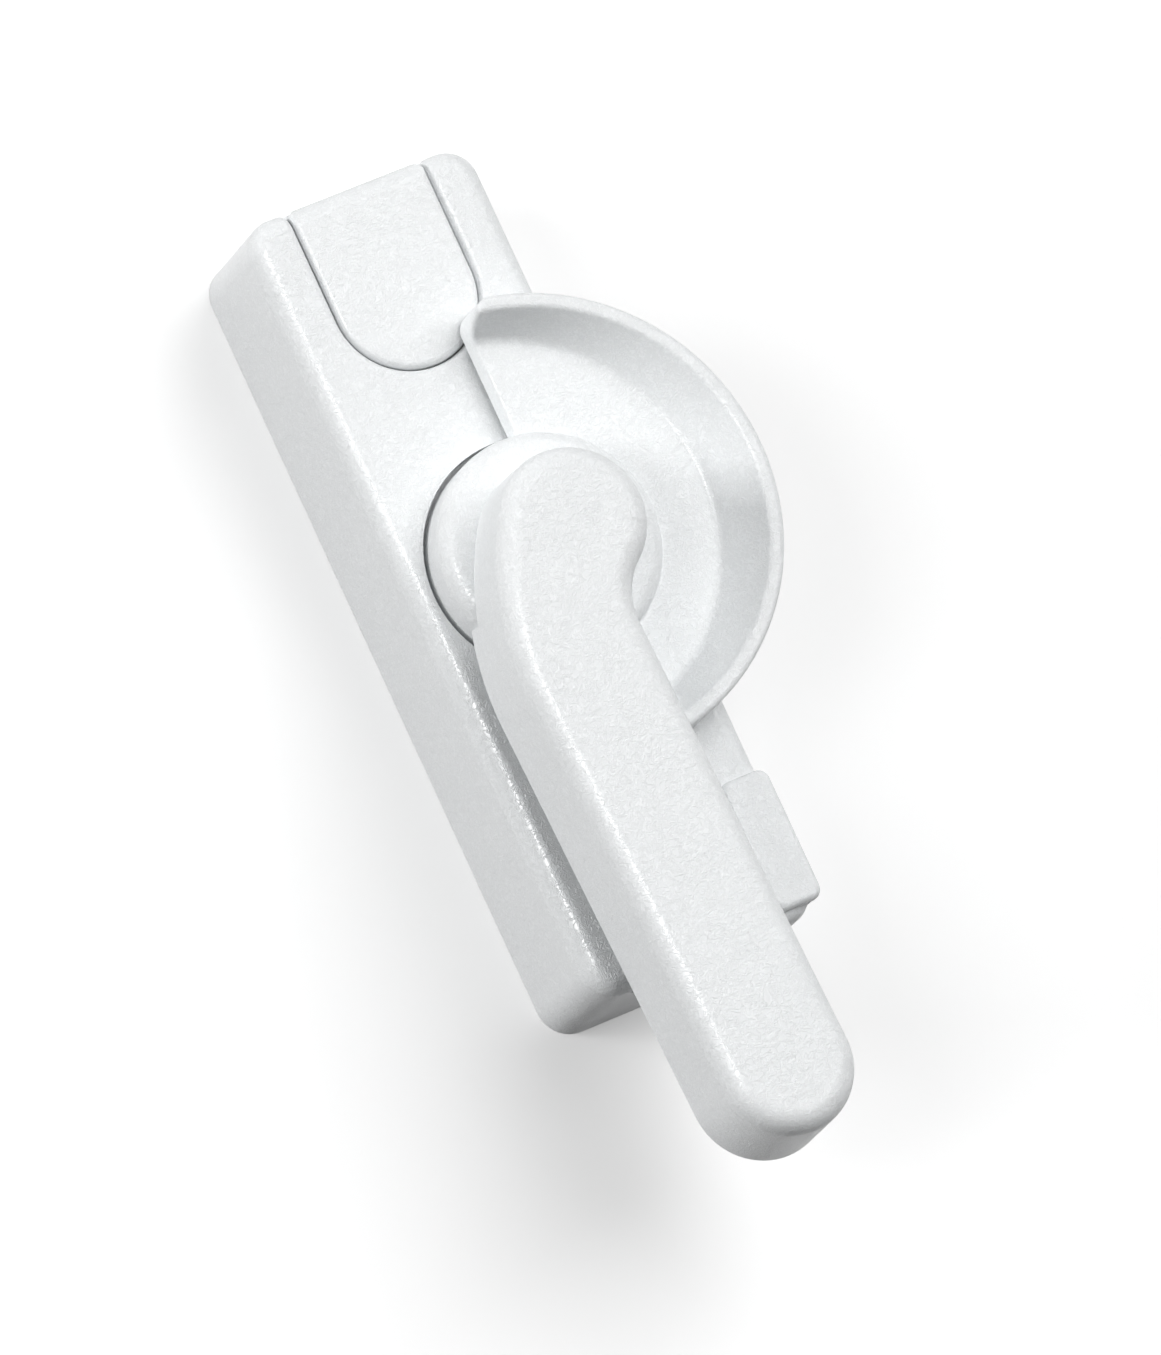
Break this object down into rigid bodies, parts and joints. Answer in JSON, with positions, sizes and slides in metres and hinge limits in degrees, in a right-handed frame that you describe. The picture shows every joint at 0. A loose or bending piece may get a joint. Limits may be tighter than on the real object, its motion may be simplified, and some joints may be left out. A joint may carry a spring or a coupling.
{
  "type": "crescent_lock",
  "caption": "White crescent lock for a sliding window, with a swinging handle, a hooked crescent, tongue-shaped screw covers and a safety slide",
  "frame": {"origin": "on the mounting plane, the back of the base plate, on the axis that the handle turns about", "axes": "+Z points out of the sash towards the handle's front, +Y runs along the housing towards the upper screw cover, +X points towards the keeper that the crescent hooks over"},
  "size_m": [0.0385, 0.1077, 0.0324],
  "materials": {
    "coated_zinc": "fine textured white powder coat on zinc die casting",
    "white_plastic": "moulded white plastic, matched to the coating",
    "plated_steel": "zinc plated, dull",
    "spring_steel": "hardened strip, oiled",
    "bearing_plastic": "natural bearing plastic"
  },
  "bodies": {
    "case": {"housing": "coated_zinc", "base_plate": "plated_steel", "base_plate_screws": "plated_steel", "upper_screw_cover": "white_plastic", "lower_screw_cover": "white_plastic", "bearing_bush": "bearing_plastic", "wave_washer": "spring_steel", "leaf_spring": "spring_steel", "stop_pins": "plated_steel", "slide_guide_washer": "spring_steel", "slide_guide_screw": "plated_steel"},
    "crescent_and_handle": {"crescent": "coated_zinc", "handle": "coated_zinc", "spindle": "plated_steel", "click_cam": "plated_steel", "retaining_washer": "plated_steel", "lock_washer": "spring_steel", "axis_screw": "plated_steel"},
    "safety_slide": {"safety_knob": "white_plastic", "lock_bar": "plated_steel", "knob_screw": "plated_steel"}
  },
  "joints": [
    {"name": "handle_turn", "type": "hinge", "parent": "case", "child": "crescent_and_handle", "pos_m": [0, 0, 0], "axis": [0, 0, -1], "range_deg": [0, 180], "deforming": ["leaf_spring"]},
    {"name": "safety_travel", "type": "slide", "parent": "case", "child": "safety_slide", "axis": [0, 1, 0], "range_m": [0, 0.003]}
  ]
}
